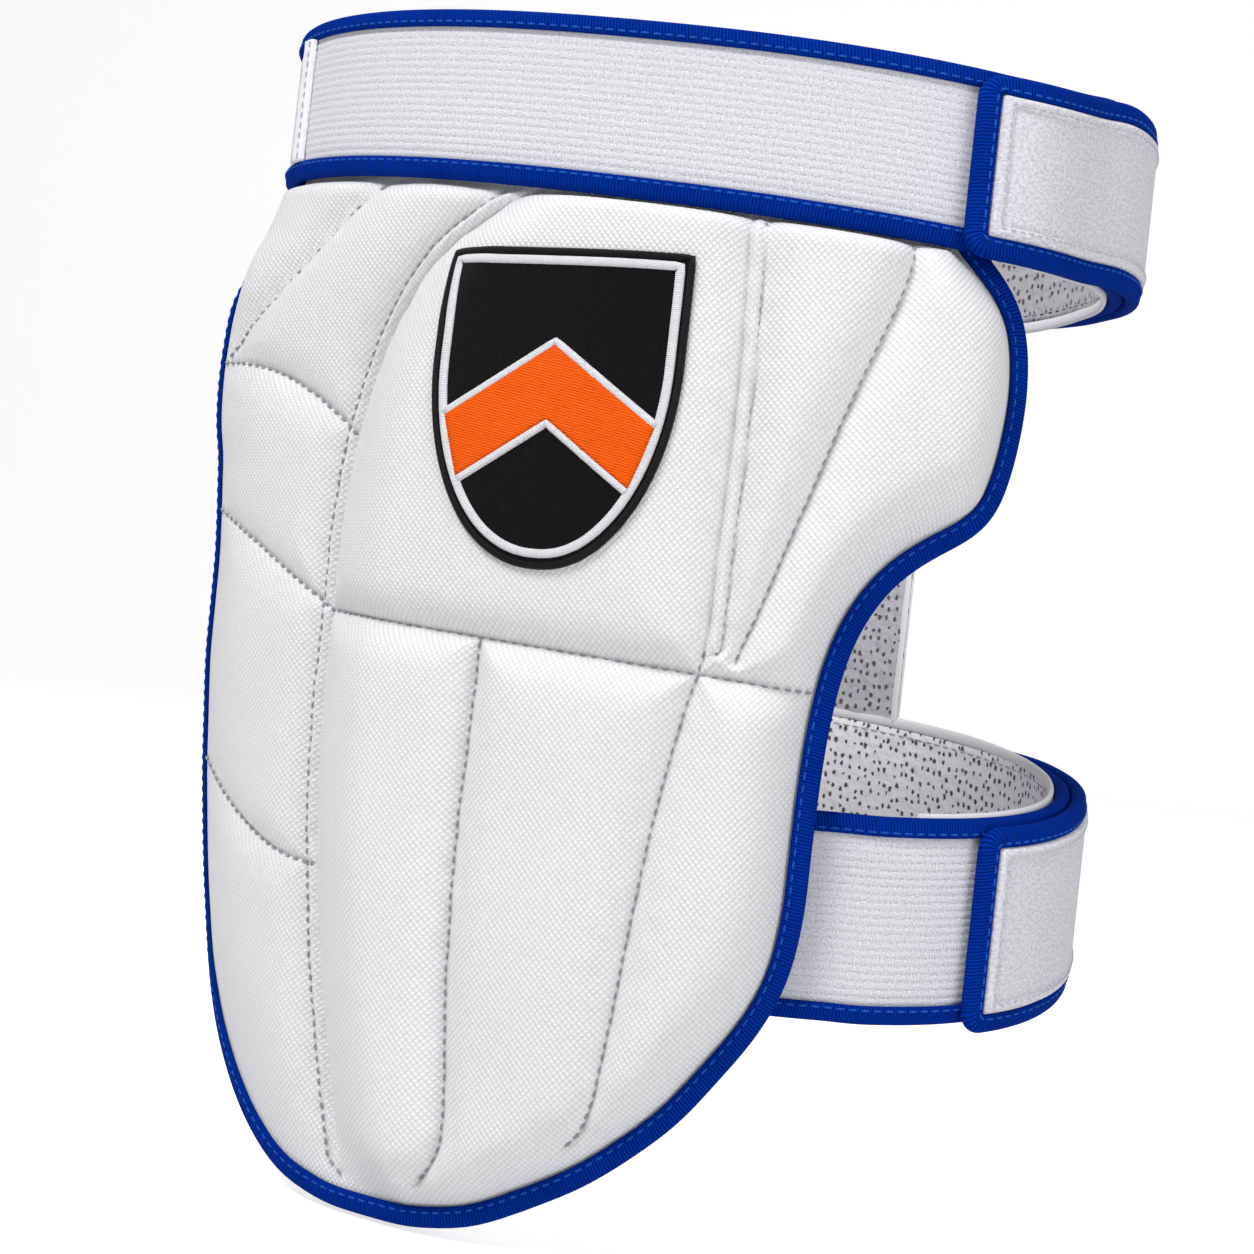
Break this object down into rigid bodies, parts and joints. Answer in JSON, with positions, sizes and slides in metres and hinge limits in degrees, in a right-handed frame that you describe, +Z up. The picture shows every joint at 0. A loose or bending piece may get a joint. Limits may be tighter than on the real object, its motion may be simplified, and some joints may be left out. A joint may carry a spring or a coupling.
{
  "type": "cricket thigh guard",
  "caption": "Quilted padded guard for the front of the thigh, bound in tape, with two wide elastic straps that close round the leg.",
  "frame": {"origin": "on the axis of the thigh that the guard is worn on, a little above the middle of the padding", "axes": "+Z up along the thigh, -Y towards the front of the thigh, +X towards the side where the straps close"},
  "size_m": [0.2401, 0.1587, 0.3021],
  "materials": {
    "shell": "white coated cloth with a fine pressed diamond grain, quilted over foam",
    "tape": "royal blue ribbed binding tape with lighter blue stitches",
    "elastic": "cool white ribbed elastic webbing",
    "plush": "cool white brushed loop fabric with a stitched hem",
    "mesh_lining": "pale grey perforated padded lining",
    "embroidery": "black and orange satin stitch with white cord edges"
  },
  "bodies": {
    "root": {"panel_shell": "shell", "panel_binding": "tape", "badge": "embroidery", "upper_strap_front": "elastic", "upper_front_top_binding": "tape", "upper_front_bottom_binding": "tape", "upper_side_hem": "elastic", "upper_strap_back": "elastic", "upper_back_binding": "tape", "upper_patch": "plush", "upper_lining": "mesh_lining", "lower_strap_front": "elastic", "lower_front_top_binding": "tape", "lower_front_bottom_binding": "tape", "lower_strap_back": "elastic", "lower_back_binding": "tape", "lower_patch": "plush", "lower_lining": "mesh_lining", "back_strip": "mesh_lining"}
  },
  "joints": []
}
